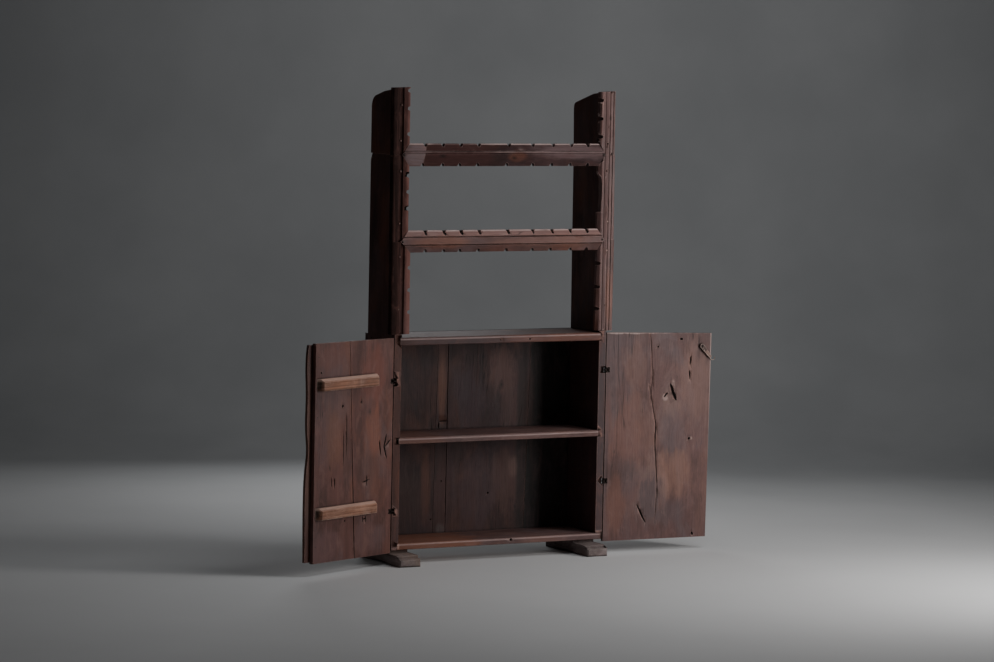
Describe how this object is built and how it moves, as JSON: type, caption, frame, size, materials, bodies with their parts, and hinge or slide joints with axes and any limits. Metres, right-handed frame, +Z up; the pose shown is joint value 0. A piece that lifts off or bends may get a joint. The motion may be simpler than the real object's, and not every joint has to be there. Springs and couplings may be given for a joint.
{
  "type": "trastero cabinet",
  "caption": "Rustic plank cupboard with hinged doors below and an open hutch framed by notched mouldings above, standing on plank runners.",
  "frame": {"origin": "on the floor, at the middle of the ground the piece covers with its doors open as drawn: 8 mm right of the middle line of the case and 25.6 mm behind the plane of its front", "axes": "+Z up; +X to the right as one faces the doors; the doors and mouldings face -Y"},
  "size_m": [2.017, 0.4812, 1.952],
  "materials": {
    "case_wood": "old dark hardwood, waxed and worn, with open grain and fine checks",
    "moulding_wood": "old dark hardwood, carved, with worn lighter arrises",
    "door_wood": "old hardwood planks, dry inner faces with knots, checks and nail marks",
    "batten_wood": "lighter brown hardwood, planed, with worn bevels",
    "back_wood": "rough dark planks with saw marks",
    "runner_wood": "weathered grey brown wood",
    "pegs": "pale end grain",
    "button_wood": "pale whittled wood",
    "nails": "hand forged iron, rusted",
    "hinge_iron": "hand forged iron wire, rusted",
    "hook_iron": "bare bent iron wire"
  },
  "bodies": {
    "carcass": {"back_nails": "nails", "back_plank_middle": "back_wood", "back_plank_right": "back_wood", "back_plank_strip": "back_wood", "back_plank_wide_left": "back_wood", "bottom_board": "case_wood", "left_hinge_case_eyes": "hinge_iron", "left_runner": "runner_wood", "left_side": "case_wood", "left_side_dowels": "pegs", "left_side_nails": "nails", "left_side_top": "case_wood", "left_stile_bottom": "moulding_wood", "left_stile_middle": "moulding_wood", "left_stile_pegs": "pegs", "left_stile_top": "moulding_wood", "lower_rail": "moulding_wood", "rail_nails": "nails", "right_hinge_case_eyes": "hinge_iron", "right_runner": "runner_wood", "right_side": "case_wood", "right_side_dowels": "pegs", "right_side_nails": "nails", "right_side_top": "case_wood", "right_stile_bottom": "moulding_wood", "right_stile_middle": "moulding_wood", "right_stile_pegs": "pegs", "right_stile_top": "moulding_wood", "runner_nails": "nails", "shelf": "case_wood", "top_board": "case_wood", "upper_rail": "moulding_wood", "upper_rail_splice": "moulding_wood"},
    "left_door": {"left_door_batten_nails": "nails", "left_door_lower_batten": "batten_wood", "left_door_overlap_strip": "door_wood", "left_door_plank_free": "door_wood", "left_door_plank_hinge": "door_wood", "left_door_strip_nails": "nails", "left_door_upper_batten": "batten_wood", "left_hinge_door_eyes": "hinge_iron"},
    "right_door": {"right_door_plank": "door_wood", "turn_button_pin": "hook_iron", "right_hinge_door_eyes": "hinge_iron"},
    "button": {"turn_button": "button_wood", "turn_button_hook": "hook_iron"}
  },
  "joints": [
    {"name": "left_door_hinge", "type": "hinge", "parent": "carcass", "child": "left_door", "pos_m": [-0.51, -0.0266, 0.4875], "axis": [0, 0, 1], "range_deg": [-29, 155.75]},
    {"name": "right_door_hinge", "type": "hinge", "parent": "carcass", "child": "right_door", "pos_m": [0.494, -0.0266, 0.539], "axis": [0, 0, 1], "range_deg": [-176.25, 8.7]},
    {"name": "turn_button_pivot", "type": "hinge", "parent": "right_door", "child": "button", "pos_m": [0.9451, -0.05516, 0.867], "axis": [-0.0654, -0.9979, 0], "range_deg": [-41, 49]}
  ]
}
